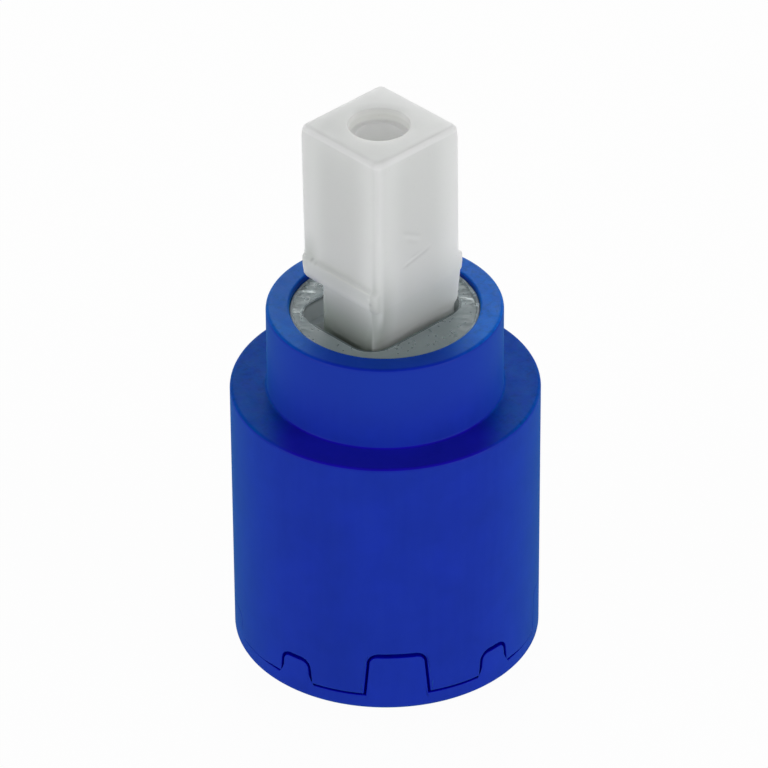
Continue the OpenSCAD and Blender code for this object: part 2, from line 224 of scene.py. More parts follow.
class BodySettings(bpy.types.PropertyGroup):
    """Sizes and colours of the blue body and base."""
    tab_count: IntProperty(name="Tabs", description="Tabs around the base", default=9)
    tab_w: number("Tab width", "Narrow tab's width at its foot, mm", 2.75)
    tab_h: number("Tab height", "Narrow tab's height, mm", 2.1)
    wide_w: number("Wide tab width", "Wide tab's width at its foot, mm", 5.1)
    wide_h: number("Wide tab height", "Wide tab's height, mm", 3.8)
    corner: number("Tab corner", "Rounding of a tab's corners, mm", 0.65)
    lean: angle_of("Lean", "Lean of a tab's sides", 5.2)
    flange: number("Flange", "Flange thickness, mm", 1.3)
    wall: number("Wall", "Wall of the body, mm", 1.3)
    neck_bore: number("Neck bore", "Radius of the neck's bore, mm", 7.62)
    seam: number("Seam", "Gap beside a tab, mm", 0.18)
    low_seam: number("Low seam", "Gap above the flange, mm", 0.15)
    top_seam: number("Top seam", "Gap above a tab, mm", 0.34)
    depth: number("Seam depth", "Depth of the seam's groove, mm", 0.3)
    tight: number("Tightness", "Share of the gap left round the tight tabs", 0.2)
    round: number("Rounding", "Rounding along the seams, mm", 0.1)
    colour: FloatVectorProperty(name="Blue", description="Colour of the plastic", subtype="COLOR",
                                size=3, min=0, max=1, default=(0.011, 0.026, 0.455))


class LeverSettings(bpy.types.PropertyGroup):
    """Sizes and colour of the lever."""
    top_round: number("Top rounding", "Rounding of the top's edges, mm", 0.5)
    edge_round: number("Edge rounding", "Rounding of the stem's edges, mm", 0.35)
    foot_round: number("Foot rounding", "Rounding of the foot's edges, mm", 0.9)
    ledge_h: number("Ledge", "Height of the ledge, mm", 1.65)
    screw_r: number("Screw hole", "Radius of the screw hole, mm", mount("handle_screw")["dims"]["r_mm"])
    mouth_r: number("Mouth", "Radius of the hole's mouth, mm", 2.43)
    mouth_h: number("Mouth depth", "Depth of the hole's mouth, mm", 1.0)
    colour: FloatVectorProperty(name="White", description="Colour of the plastic", subtype="COLOR",
                                size=3, min=0, max=1, default=(0.86, 0.875, 0.862))


class GreaseSettings(bpy.types.PropertyGroup):
    """Sizes of the grease on the collar."""
    film: number("Film", "Depth of the thin film, mm", 0.03)
    heap: number("Heap", "Depth added where grease is swept out, mm", 0.2)
    bead_w: number("Bead width", "Half the bead's width, mm", 0.17)
    bead_h: number("Bead height", "Half the bead's height, mm", 0.15)


class StageSettings(bpy.types.PropertyGroup):
    """The camera's place and the lights."""
    azimuth: angle_of("Azimuth", "Camera's turn from -Y towards +X", 46.3)
    elevation: angle_of("Elevation", "Camera's height", 34.07)
    roll: angle_of("Roll", "Camera's roll", -0.387)
    distance: number("Distance", "Camera to object, mm", 490.6)
    aside: number("Aside", "Aim beside the axis, mm", -0.105)
    aim: number("Aim", "Height of the aim, mm", 23.24)
    lens: number("Lens", "Focal length, mm", 286.35)
    sky: number("Sky", "Strength of the even sky", 0.19)
    left_box: number("Left box", "Power of the left soft box, W", 1.11)
    right_box: number("Right box", "Power of the right soft box, W", 1.26)
    back_box: number("Back box", "Power of the back soft box, W", 1.11)


def body_settings():
    return bpy.context.scene.cartridge_body


def lever_settings():
    return bpy.context.scene.cartridge_lever


# Materials

def put(tree, kind, values=None, links=None, **settings):
    """A node with its settings, its inputs' values and its inputs' links."""
    made = tree.nodes.new(kind)
    for key, value in settings.items():
        setattr(made, key, value)
    for key, value in (values or {}).items():
        made.inputs[key].default_value = value
    for key, socket in (links or {}).items():
        tree.links.new(socket, made.inputs[key])
    return made


def merged(tree, operation, first, *others):
    """Sockets put one after another through an operation of arithmetic."""
    for other in others:
        node = put(tree, "ShaderNodeMath", None, {0: first, 1: other}, operation=operation)
        first = node.outputs[0]
    return first


def shaded(colour, share):
    """A colour made darker or lighter."""
    return tuple(c * share for c in colour)


class Finish:
    """A material in the making: patterns on Object coordinates, led to its main shader.

    Distances in its patterns are in millimetres, and a noise's scale is in features a metre.
    """

    def __init__(self, name):
        self.made = bpy.data.materials.new(name)
        self.made.use_nodes = True
        self.tree = self.made.node_tree
        self.shader = self.tree.nodes["Principled BSDF"]
        self.base = None

    def feed(self, **values):
        """Links or sets the shader's own sockets, named with underscores for spaces."""
        for key, value in values.items():
            socket = self.shader.inputs[key.replace("_", " ")]
            if isinstance(value, bpy.types.NodeSocket):
                self.tree.links.new(value, socket)
            else:
                socket.default_value = value

    def put(self, kind, values=None, links=None, **settings):
        """One more node."""
        return put(self.tree, kind, values, links, **settings)

    def place(self):
        """The Object coordinates."""
        return self.put("ShaderNodeTexCoord").outputs["Object"]

    def axis(self, name):
        """One of the Object coordinates X, Y and Z."""
        return self.put("ShaderNodeSeparateXYZ", None, {"Vector": self.place()}).outputs[name]

    def aside(self, x, y):
        """Distance from an upright line."""
        flat = self.put("ShaderNodeVectorMath", {1: (1, 1, 0)}, {0: self.place()}, operation="MULTIPLY")
        return self.put("ShaderNodeVectorMath", {1: (x * MM, y * MM, 0)}, {0: flat.outputs[0]},
                        operation="DISTANCE").outputs["Value"]

    def noise(self, scale, detail, stretch=(1, 1, 1), roughness=0.55):
        """Noise, stretched along the axes."""
        place = self.place()
        if stretch != (1, 1, 1):
            place = self.put("ShaderNodeMapping", {"Scale": stretch}, {"Vector": place}).outputs["Vector"]
        return self.put("ShaderNodeTexNoise", {"Scale": scale, "Detail": detail, "Roughness": roughness},
                        {"Vector": place}).outputs["Fac"]

    def streaks(self, scale, detail):
        """Noise drawn out along the diagonal towards +X +Y."""
        drawn = self.put("ShaderNodeMapping", {"Rotation": (0, 0, math.radians(46)), "Scale": (2.4, 0.8, 1)},
                         {"Vector": self.place()}, vector_type="TEXTURE").outputs["Vector"]
        return self.put("ShaderNodeTexNoise", {"Scale": scale, "Detail": detail, "Roughness": 0.6},
                        {"Vector": drawn}).outputs["Fac"]

    def ranged(self, value, low, high, start=0.3, end=0.7):
        """value from start to end, spread from low to high."""
        return self.put("ShaderNodeMapRange",
                        {"From Min": start, "From Max": end, "To Min": low, "To Max": high},
                        {"Value": value}).outputs["Result"]

    def fade(self, value, start, end, low=0.0, high=1.0):
        """A distance or place from start to end, eased from low to high."""
        return self.put("ShaderNodeMapRange",
                        {"From Min": start * MM, "From Max": end * MM, "To Min": low, "To Max": high},
                        {"Value": value}, interpolation_type="SMOOTHSTEP").outputs["Result"]

    def times(self, *factors):
        return merged(self.tree, "MULTIPLY", *factors)

    def plus(self, *terms):
        return merged(self.tree, "ADD", *terms)

    def minus(self, first, second):
        return merged(self.tree, "SUBTRACT", first, second)

    def most(self, *values):
        return merged(self.tree, "MAXIMUM", *values)

    def layered(self, base, *layers):
        """base with further colours laid over it, each given by its share and itself."""
        for share, colour in layers:
            made = self.put("ShaderNodeMix", None, {"Factor": share}, data_type="RGBA")
            for key, value in (("A", base), ("B", colour)):
                socket = next(s for s in made.inputs if s.name == key and s.type == "RGBA")
                if isinstance(value, bpy.types.NodeSocket):
                    self.tree.links.new(value, socket)
                else:
                    socket.default_value = (*value, 1)
            base = next(s for s in made.outputs if s.type == "RGBA")
        return base

    def cloudy(self, scale, detail, first, second):
        """Clouds of two colours."""
        return self.layered(first, (self.ranged(self.noise(scale, detail), 0, 1), second))

    def gloss(self, scale, low, high):
        """Uneven roughness."""
        return self.ranged(self.noise(scale, 3), low, high)

    def bump(self, height, metres, under=None):
        """A bump of that height in metres, on top of the normal under it."""
        links = {"Height": height, **({"Normal": under} if under is not None else {})}
        return self.put("ShaderNodeBump", {"Distance": metres, "Strength": 1.0}, links).outputs["Normal"]


def moulded(name, colour, light, rough, grain, mottle, **more):
    """Moulded plastic: cloudy colour, faint flow lines up the wall, a fine grain and uneven gloss."""
    f = Finish(name)
    cloud = f.cloudy(260, 4, shaded(colour, 1 - mottle), shaded(colour, 1 + mottle))
    flow = f.ranged(f.noise(1500, 2, (1, 1, 0.12)), 0, 1)
    f.base = f.layered(cloud, (f.ranged(flow, 0, 0.12, 0, 1), light))
    f.feed(Base_Color=f.base, Roughness=f.gloss(900, *rough),
           Normal=f.bump(f.noise(700, 3), grain * 3, f.bump(f.noise(9000, 2), grain)), **more)
    return f


def body_plastic(name, shade=1.0):
    """The blue plastic on the walls: satin, with a sheen, and paler and greener up the neck."""
    colour = shaded(body_settings().colour, shade)
    light = (colour[0] * 2.0, colour[1] * 1.9, colour[2] * 1.1)
    bloom = (0.014, 0.037, 0.46)
    f = moulded(name, colour, light, (0.4, 0.52), 0.000004, 0.08, Specular_IOR_Level=0.0, Coat_Weight=0.08,
                Coat_Roughness=0.4, Sheen_Weight=0.26, Sheen_Roughness=0.5, Sheen_Tint=(0.12, 1.0, 0.6, 1))
    # Paler and greener up the neck.
    up_neck = f.fade(f.axis("Z"), SHOULDER_Z + 1, NECK_Z - 1.5)
    f.feed(Base_Color=f.layered(f.base, (up_neck, bloom)))
    return f.made


def upper_plastic(name, colour, films, reach, gloss, sheen):
    """The blue plastic on a face that looks up: wiped smoother, with a pale painted reflection
    away from its +X -Y side.

    Its two reflection colours are the painted reflection's towards -Y and +Y, and reach is where it starts
    and ends, in millimetres from the +X -Y side. Darker blotches make the painted reflection patchy.
    """
    light = (colour[0] * 2, colour[1] * 2, colour[2] * 1.15)
    f = moulded(name, colour, light, (0.28, 0.44), 0.000006, 0.1, Specular_IOR_Level=gloss,
                Specular_Tint=(0.05, 1.0, 0.9, 1), Sheen_Weight=sheen, Sheen_Roughness=0.5,
                Sheen_Tint=(0.0, 1.0, 0.6, 1))
    # Painted reflection: a pale teal colour, the film below, laid over the sides and back away from the +X
    # -Y side, with darker blotches in it.
    no_reflection_x, no_reflection_y = 6.1, -5.9
    spread = f.fade(f.aside(no_reflection_x, no_reflection_y), *reach)
    film = f.layered(films[0], (f.fade(f.axis("Y"), -4, 6), films[1]))
    reflection_share = f.times(spread, f.ranged(f.noise(800, 4, roughness=0.7), 0.75, 1, 0.4, 0.6))
    reflection_blotch = f.times(f.ranged(f.noise(2000, 4, roughness=0.7), 0, 0.6, 0.46, 0.68),
                     f.times(spread, f.ranged(f.noise(300, 2), 0.4, 1, 0.4, 0.56)))
    f.feed(Base_Color=f.layered(f.base, (reflection_share, film), (reflection_blotch, shaded(films[0], 0.5))))
    return f.made


def ring_plastic():
    """The ring at the neck's top."""
    # Colours of the painted reflection towards -Y and +Y.
    films = (0.002, 0.084, 0.54), (0.004, 0.12, 0.7)
    return upper_plastic("ring_plastic", (0.006, 0.017, 0.46), films, (3.8, 9.0), 0.044, 0.18)


def shoulder_plastic():
    """The shoulder, whose painted reflection is duller."""
    # Colours of the painted reflection towards -Y and +Y.
    films = (0.001, 0.074, 0.42), (0.002, 0.078, 0.47)
    return upper_plastic("shoulder_plastic", (0.011, 0.004, 0.46), films, (7.2, 10.8), 0.016, 0.05)


def seam_plastic():
    """The blue plastic down in the seam, where no dust settles: deep and dull."""
    return moulded("seam_plastic", (0.001, 0.002, 0.42), (0.001, 0.003, 0.5), (0.5, 0.64), 0.000005, 0.12,
                   Specular_IOR_Level=0.0).made


def lever_stain_and_shade(f):
    """How far grease and painted shade darken the lever, from 0 to 1.

    It runs up the +X face and pools at that face's front corner, climbs the foot's -Y face, crosses the
    ledge and its -X end, and is partly taken off beside the front corner. Down towards the collar it is
    partly a grease stain and partly painted shade, on the ledge and its -X end it is painted shade, and the
    lighter strip beside the front corner is a painted highlight.
    """
    x, y, z = f.axis("X"), f.axis("Y"), f.axis("Z")

    def up(start, end, low=0.0, high=1.0):
        """Eased from one height above the neck to another."""
        return f.fade(z, NECK_Z + start, NECK_Z + end, low, high)

    # corner, front and left darken down towards the collar: partly a grease stain, partly painted shade.
    # ledge and end are painted shade on the ledge and at its -X end.
    corner = f.times(f.fade(y, -2.2, -4.0), up(9, 1, 0.06, 0.3))
    front = f.times(f.plus(f.times(up(6.5, 0.3, 0, 0.3), up(-0.8, 0, 0.4, 1)), corner), f.fade(x, 3.0, 3.5))
    left = f.times(up(4.9, -0.5, 0, 0.78), f.fade(y, -4.4, -4.62))
    left = f.plus(left, f.times(f.fade(x, -1.0, -2.5, 0, 0.2), left))
    ledge = f.times(up(5.2, 4.4, 0, 0.2), up(2.7, 4.2, 0.35, 1), f.fade(y, -4.2, -4.4))
    end = f.times(f.fade(x, -2.6, -4.2, 0, 0.28), f.fade(y, -4.0, -4.3), up(7.6, 4.9), up(3.3, 4.2))
    stain = f.most(front, left, ledge, end)
    # Beside the front corner the darkening is partly taken off: a lighter strip that is a painted highlight.
    highlight_strip = f.times(f.fade(f.aside(3.65, -4.05), 0.45, 0.15, 0, 0.45), up(0.7, 2.8))
    return f.minus(stain, f.times(stain, highlight_strip))


def lever_plastic(name, reach):
    """Natural white plastic that lets light in as deep as reach: clear corners, a milky core, a grease stain
    with painted shade, painted light down the hole, and a painted highlight and painted shade on the top.
    """
    f = Finish(name)
    colour = tuple(lever_settings().colour)
    painted_hole_light, fleck, grease = (0.985, 0.99, 0.955), (0.42, 0.45, 0.42), (0.14, 0.175, 0.14)

    def tone(share):
        return tuple(min(c * share, 0.97) for c in colour)

    height, core = f.axis("Z"), f.aside(STEM_X, 0)
    cloud = f.ranged(f.noise(190, 3, (1, 1, 0.35)), 0, 0.4)
    clear = f.times(f.fade(core, 4.5, 5.6), f.fade(f.axis("X"), -4.4, -2.6, 0.35, 1))
    # edge is a painted highlight: a slightly lighter band round the top's rounded edge.
    edge = f.times(f.fade(height, LEVER_TOP - 0.62, LEVER_TOP - 0.4),
                   f.fade(height, LEVER_TOP - 0.04, LEVER_TOP - 0.14))
    # top is painted shade: the flat top a little darker, and darker still towards -Y.
    top = f.fade(height, LEVER_TOP - 0.05, LEVER_TOP - 0.005)
    mark = f.put("ShaderNodeAttribute", attribute_name="mark").outputs["Fac"]
    base = f.layered(
        shaded(colour, 0.86), (clear, shaded(colour, 0.96)), (cloud, tone(0.9)), (edge, tone(1.03)),
        (top, tone(0.96)), (f.times(top, f.fade(f.axis("Y"), 3.4, -4.0)), tone(0.84)),
        # Painted light: the screw hole's wall near white.
        (f.fade(core, 2.6, 2.3), painted_hole_light), (f.ranged(f.noise(5200, 2), 0, 0.2, 0.7, 0.78), fleck),
        # The creases and lines: painted shade where dark and painted highlight where pale, with the lever's
        # specks among them.
        (f.ranged(mark, 0, 1, 0, 1), tone(0.55)), (f.ranged(mark, 0, 1, 0, -1), tone(1.1)),
        # The grease colour darkens both a grease stain and painted shade.
        (lever_stain_and_shade(f), grease))
    wavy = f.noise(480, 3, (1, 1, 0.5))
    f.feed(Base_Color=base, Roughness=f.gloss(1100, 0.3, 0.44),
           Normal=f.bump(wavy, 0.00003, f.bump(f.noise(7000, 2), 0.000005)), Subsurface_Weight=1.0,
           Subsurface_Scale=0.001, Subsurface_Radius=(reach, reach * 1.03, reach), Specular_IOR_Level=0.14)
    return f.made


def swept_out(f):
    """1 at the collar's -X and +Y sides, where the lever sweeps the grease out, and 0 elsewhere."""
    return f.most(f.fade(f.axis("X"), -3.0, -5.4), f.fade(f.axis("Y"), 3.6, 6.2))


def carrier_plastic():
    """Grey glass-filled plastic, smeared with pale grease and painted glints where it is swept out, with
    painted light down its slot.
    """
    f = Finish("carrier_plastic")
    greys = (0.175, 0.208, 0.216), (0.215, 0.252, 0.26)
    smear, painted_glint = (0.3, 0.34, 0.345), (0.72, 0.78, 0.78)
    speck, painted_slot_light = (0.07, 0.08, 0.08), (0.56, 0.61, 0.62)
    swept = swept_out(f)
    base = f.layered(
        f.cloudy(520, 4, *greys),
        (f.times(swept, f.ranged(f.streaks(1400, 2), 0, 1, 0.44, 0.64)), smear),
        # Painted glints: bright thin streaks in the swept grease.
        (f.times(swept, f.ranged(f.streaks(1900, 2), 0, 0.9, 0.61, 0.7)), painted_glint),
        (f.ranged(f.noise(3800, 3), 0, 0.3, 0.7, 0.76), speck),
        # Painted light down the slot: paler below the collar's top, where the slot is shaded.
        (f.fade(f.axis("Z"), COLLAR_Z - 0.02, COLLAR_Z - 0.4), painted_slot_light))
    grain = f.bump(f.noise(5200, 2), 0.000003, f.bump(f.noise(750, 3), 0.00002))
    f.feed(Base_Color=base, Roughness=f.gloss(1200, 0.42, 0.62), Normal=grain, Specular_IOR_Level=0.08)
    return f.made


def silicone_grease():
    """Clear silicone grease: a wet sheen with a faint haze and brushed strokes."""
    f = Finish("silicone_grease")
    strokes = f.bump(f.times(f.streaks(1300, 2), swept_out(f)), 0.0003)
    f.feed(Base_Color=f.cloudy(2400, 3, (0.9, 0.93, 0.92), (0.98, 0.985, 0.98)),
           Roughness=f.gloss(1600, 0.26, 0.36), Normal=f.bump(f.noise(2600, 2), 0.000004, strokes),
           Transmission_Weight=0.97, IOR=1.15)
    return f.made


def worn_grease():
    """Grease that has picked up grey wear from the plastic: wet, lumpy and half clear, with pale painted
    glints that grow towards +Y.
    """
    f = Finish("worn_grease")
    # Painted glints: pale flecks, more of them towards +Y.
    painted_glint = f.times(f.fade(f.axis("Y"), 0, 5.0, 0.1, 1), f.ranged(f.noise(2600, 4), 0, 0.9, 0.54, 0.64))
    lumps = f.cloudy(1500, 3, (0.23, 0.27, 0.285), (0.38, 0.44, 0.455))
    f.feed(Base_Color=f.layered(lumps, (painted_glint, (0.62, 0.72, 0.75))), Roughness=f.gloss(2100, 0.26, 0.5),
           Normal=f.bump(f.noise(3000, 3), 0.00004), Transmission_Weight=0.1, IOR=1.2)
    return f.made


def ground_steel():
    """Ground steel: fine lines round the pin and a faint temper."""
    f = Finish("pin_steel")
    lines = f.noise(2500, 2, (0.15, 6, 0.15))
    f.feed(Base_Color=f.layered((0.5, 0.5, 0.5), (f.ranged(lines, 0, 1), (0.64, 0.64, 0.65))),
           Roughness=f.gloss(1800, 0.16, 0.34), Normal=f.bump(lines, 0.000004), Metallic=1.0)
    return f.made


def lapped_ceramic():
    """Lapped alumina: a warm white body with pores and a near-polished face."""
    f = Finish("disc_ceramic")
    pore = f.ranged(f.noise(6500, 3), 0, 1, 0.68, 0.74)
    body = f.cloudy(400, 3, (0.8, 0.78, 0.73), (0.86, 0.85, 0.81))
    f.feed(Base_Color=f.layered(body, (f.ranged(pore, 0, 0.35, 0, 1), (0.5, 0.48, 0.44))),
           Roughness=f.gloss(2200, 0.1, 0.24), Normal=f.bump(pore, 0.000008), Specular_IOR_Level=0.6)
    return f.made


def seal_rubber():
    """Black rubber: a dull skin with bloom and a fine orange peel."""
    f = Finish("seal_rubber")
    bloom = f.ranged(f.noise(900, 4), 0, 1, 0.45, 0.75)
    f.feed(Base_Color=f.layered((0.014, 0.014, 0.015), (bloom, (0.045, 0.045, 0.047))),
           Roughness=f.gloss(1500, 0.5, 0.72), Normal=f.bump(f.noise(5200, 2), 0.00001))
    return f.made


# The seam between body and base

def seam_line(gap, top_gap, foot_z):
    """The castellated seam once round, as angles and heights.

    Each pitch is a flat run, a leaning side, a round corner, a flat top, and the same mirrored.
    Widths are measured round the body at its outer radius. The gaps are full at the three open tabs.
    """
    s = body_settings()
    pitch = 2 * math.pi / s.tab_count
    wide_tabs, open_tabs = (1, s.tab_count - 1), (0, s.tab_count - 1, s.tab_count - 2)
    angles, heights = [], []
    for i in range(s.tab_count):
        wide, share = i in wide_tabs, 1.0 if i in open_tabs else s.tight
        corner = s.corner + 1.8 * gap * share
        half = (s.wide_w if wide else s.tab_w) / 2 + gap * share
        rise = (s.wide_h if wide else s.tab_h) + top_gap * share
        centre = half - rise * math.tan(s.lean) - corner * math.tan((math.pi / 2 - s.lean) / 2)
        turn = np.linspace(math.pi / 2, s.lean, 9)
        arc_y = centre + corner * np.cos(turn)
        arc_z = s.flange + rise - corner + corner * np.sin(turn)
        foot_y = half - (foot_z - s.flange) * math.tan(s.lean)
        side, flat = np.linspace(0, 1, 9)[1:], np.linspace(0, 1, 13)[1:]
        right_y = np.concatenate([
            np.linspace(0, centre, 7)[:-1], arc_y, arc_y[-1] + (foot_y - arc_y[-1]) * side,
            foot_y + (BODY_R * pitch / 2 - foot_y) * flat])
        right_z = np.concatenate([
            np.full(6, s.flange + rise), arc_z, arc_z[-1] + (foot_z - arc_z[-1]) * side,
            np.full(12, foot_z)])
        angles.append(i * pitch + np.concatenate([-right_y[::-1], right_y[1:-1]]) / BODY_R)
        heights.append(np.concatenate([right_z[::-1], right_z[1:-1]]))
    return np.concatenate(angles), np.concatenate(heights)


def wall_row(angles, heights, radius):
    """Points at angles and heights on a wall of that radius."""
    return np.stack([radius * np.cos(angles), radius * np.sin(angles), heights + 0 * angles], -1)


class Seam:
    """The seam's line, once round, with its normals in the unrolled wall and its edge's rounding rho.

    closing is how far the line drops between the tabs that turn away from the open ones, where the seam
    closes up. way is 1 where the piece is above the seam, as the body is, and -1 where it is below.
    """
    lead = 0.08  # from the rounded edge to the next row of the wall

    def __init__(self, gap, top_gap, foot_z, way, closing=0.0):
        s = body_settings()
        self.way = way
        self.angles, heights = seam_line(gap, top_gap, foot_z)
        away = self.turned_away(s.tab_count)
        self.heights = np.where(heights < foot_z + 0.001, heights - closing * away, heights)
        self.rho = s.round * (1 - 0.75 * away)
        self.spread = -math.pi / s.tab_count + np.arange(len(away)) * 2 * math.pi / len(away)
        step = np.roll(self.angles, -1) - self.angles
        step[-1] += 2 * math.pi
        along = np.stack([step * BODY_R, np.roll(self.heights, -1) - self.heights], -1)
        along /= np.linalg.norm(along, axis=1, keepdims=True)
        after = np.stack([-along[:, 1], along[:, 0]], -1)
        before = np.roll(after, 1, 0)
        self.normals = (after + before) / (1 + (after * before).sum(1, keepdims=True))

    def turned_away(self, tabs):
        """0 at the three open tabs and 1 past them."""
        turn = self.angles - (tabs - 1) * 2 * math.pi / tabs
        return ease(np.abs((turn + math.pi) % (2 * math.pi) - math.pi), 0.85, 1.05)

    def lifted(self, lift):
        """Angles and heights of the line, lifted into the piece."""
        shift = self.normals * lift[:, None] * self.way
        return self.angles + shift[:, 0] / BODY_R, self.heights + shift[:, 1]

    def edge_rows(self, inner_r):
        """Rows over the seam's rounded edge: down the outer wall, round the edge and in to inner_r."""
        rho = self.rho
        rows = [wall_row(*self.lifted(lift), BODY_R) for lift in (rho + self.lead, rho + 0.03)]
        for turn in np.linspace(0, math.pi / 2, 6):
            up, inset = rho * (1 - math.sin(turn)), rho * (1 - math.cos(turn))
            rows.append(wall_row(*self.lifted(up), BODY_R - inset))
        for radius in (BODY_R - rho - 0.04, inner_r):
            rows.append(wall_row(self.angles, self.heights, radius))
        return np.stack(rows)

    def wall_rows(self, start_z, steps):
        """Rows down or up the outer wall, from an even circle at start_z to the seam's rounded edge."""
        share = np.linspace(0, 1, steps)[1:-1, None]
        angles, heights = self.lifted(self.rho + self.lead)
        return wall_row(self.spread * (1 - share) + angles * share, start_z * (1 - share) + heights * share,
                        BODY_R)


# Pieces

class CARTRIDGE_OT_housing(bpy.types.Operator):
    """Makes the blue body: a turned shell whose lower edge follows the seam round the tabs."""
    bl_idname = "cartridge.housing"
    bl_label = "Make the body"

    def execute(self, context):
        s = body_settings()
        seam = Seam(s.seam, s.top_seam, s.flange + s.low_seam, 1, s.low_seam * (1 - s.tight))
        slack = 0.02
        bore_r, roof_z = BODY_R - s.wall, SHOULDER_Z - 2
        blend_z = s.flange + s.wide_h + 1.4
        lip_line = seam_line(slack, slack, s.flange + slack)
        lip = np.stack([wall_row(*lip_line, radius) for radius in (BODY_R - s.depth - slack, bore_r)])
        shell = turned(profile([
            (bore_r, blend_z, 0), (bore_r, roof_z, 0.3), (s.neck_bore, roof_z, 0.2),
            (s.neck_bore, NECK_Z, 0.22), (NECK_R, NECK_Z, 0.3), (NECK_R, SHOULDER_Z, 0.22),
            (BODY_R, SHOULDER_Z, 0.3), (BODY_R, blend_z, 0)]), seam.spread)
        rings = np.concatenate([blend_rows(lip[-1], shell[0], 4), shell, seam.wall_rows(blend_z, 10),
                                seam.edge_rows(BODY_R - s.depth), lip])
        body = skin("housing_shell", rings, wrap=True)
        finishes = [body_plastic("body_plastic"), ring_plastic(), shoulder_plastic(), seam_plastic()]
        finish_faces(body, finishes, self.which)
        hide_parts("housing")
        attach(body, "valve_body")
        return {"FINISHED"}

    def which(self, centre, normal):
        """0 on the walls, 1 on the ring at the top, 2 on the shoulder and 3 in the seam."""
        radius, height, up = np.hypot(centre[:, 0], centre[:, 1]), centre[:, 2], normal[:, 2] > 0.5
        seam_top = 6.2
        return np.select([up & (height > NECK_Z - 0.3), up & (np.abs(height - SHOULDER_Z) < 0.25),
                          (radius < INSIDE_R) & (height < seam_top)], [1, 2, 3], 0)


def cutter(name, line):
    """A closed turned solid round Z, from a profile that starts and ends on the axis or closes on itself."""
    spread = np.linspace(0, 2 * math.pi, 97)[:-1]
    if line[0, 0] == 0:
        return skin(name, turned(line[1:-1], spread), low_pole=(0, 0, line[0, 1]),
                    high_pole=(0, 0, line[-1, 1]))
    return skin(name, turned(line, spread), wrap=True)


def rod(name, r, low, high, inner=0):
    """A rod, or a tube where inner is its bore, to cut with."""
    return cutter(name, np.array([(inner, low), (r, low), (r, high), (inner, high)], float))


def carve(obj, tool, operation="DIFFERENCE"):
    """Cuts tool from obj, or joins it on, and removes the tool."""
    modifier = obj.modifiers.new("carve", "BOOLEAN")
    modifier.operation = operation
    modifier.solver = "EXACT"
    modifier.object = tool
    depsgraph = bpy.context.evaluated_depsgraph_get()
    done = bpy.data.meshes.new_from_object(obj.evaluated_get(depsgraph))
    obj.modifiers.clear()
    obj.data = done
    bpy.data.objects.remove(tool)


def moved(obj, x, y, z=0.0):
    """obj with its mesh shifted, its object left at the origin."""
    obj.data.transform(Matrix.Translation(Vector((x, y, z)) * MM))
    return obj


def crisp(obj, angle):
    """Smooth faces with sharp edges past that angle, in degrees."""
    obj.data.shade_smooth()
    obj.data.set_sharp_from_angle(angle=math.radians(angle))


class CARTRIDGE_OT_base(bpy.types.Operator):
    """Makes the blue base: flange and tabs in one skin, with its ports, seal grooves and pegs."""
    bl_idname = "cartridge.base"
    bl_label = "Make the base"
    plate_r = 11.15
    plate_z = 5.0
    eye_r = 0.6

    def execute(self, context):
        s = body_settings()
        seam = Seam(0, 0, s.flange, -1)
        low_wall = s.flange * 0.45
        under = profile([(self.eye_r, 0, 0), (BODY_R, 0, 0.32), (BODY_R, low_wall, 0)])
        rings = np.concatenate([turned(under, seam.spread), seam.wall_rows(low_wall, 5),
                                seam.edge_rows(self.plate_r), turned(self.inside(s), seam.spread)])
        base = skin("base_moulding", rings, low_pole=(0, 0, 0), high_pole=(0, 0, self.plate_z))
        for name in ("hot_inlet", "cold_inlet", "outlet"):
            self.make_port(base, mount(name))
        self.add_pegs(base, mount("locating_pegs"))
        crisp(base, 32)
        finish_faces(base, [body_plastic("base_plastic", 1.04), seam_plastic()], self.which)
        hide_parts("base")
        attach(base, "valve_body")
        return {"FINISHED"}

    def inside(self, s):
        """Profile over the snap bead and the rim, then down to the plate and in to its eye."""
        plate, bead, rim_r, rim_z, soft = self.plate_r, self.plate_r + 0.25, 9.8, BASE_HIGH[2], 0.15
        return profile([
            (plate, s.flange + s.wide_h + 0.3, 0), (plate, 5.68, 0), (bead, 5.95, 0), (bead, 6.2, 0),
            (plate, 6.5, 0), (plate, rim_z, soft), (rim_r, rim_z, soft), (rim_r, self.plate_z, 0.1),
            (self.eye_r, self.plate_z, 0)])

    def make_port(self, base, port):
        """Drills a port and cuts the seal's groove round it, above and below."""
        land, seal_w, groove_h, slack, past = 0.35, 0.9, 1.2, 0.02, 1
        x, y = (c / MM for c in port["pos_m"][:2])
        r, top = port["dims"]["r_mm"], self.plate_z + 2 * past
        carve(base, moved(rod("port", r, -past, top), x, y))
        for low, high in ((self.plate_z - groove_h, top), (-past, groove_h)):
            groove = rod("groove", r + land + seal_w + slack, low, high, r + land - slack)
            carve(base, moved(groove, x, y))

    def add_pegs(self, base, pegs):
        """Joins the two locating pegs on below."""
        root_z, low_z = 0.5, BASE_LOW[2]
        reach, r = pegs["dims"]["spacing_y_mm"] / 2, pegs["dims"]["stud_r_mm"]
        for y in (-reach, reach):
            line = profile([(0, root_z, 0), (r, root_z, 0), (r, low_z, 0.25), (0, low_z, 0)])
            carve(base, moved(cutter("peg", line), pegs["pos_m"][0] / MM, y), "UNION")

    def which(self, centre, normal):
        """1 on the seam's faces and 0 elsewhere."""
        radius, height = np.hypot(centre[:, 0], centre[:, 1]), centre[:, 2]
        in_seam = (radius < INSIDE_R) & (radius > self.plate_r + 0.05)
        return (in_seam & (height > 1.2) & (height < 5.6)).astype(int)


# The lever

FOOT_FRONT, FOOT_BACK, FOOT_SIDE = 3.5, 2.5, 4.83


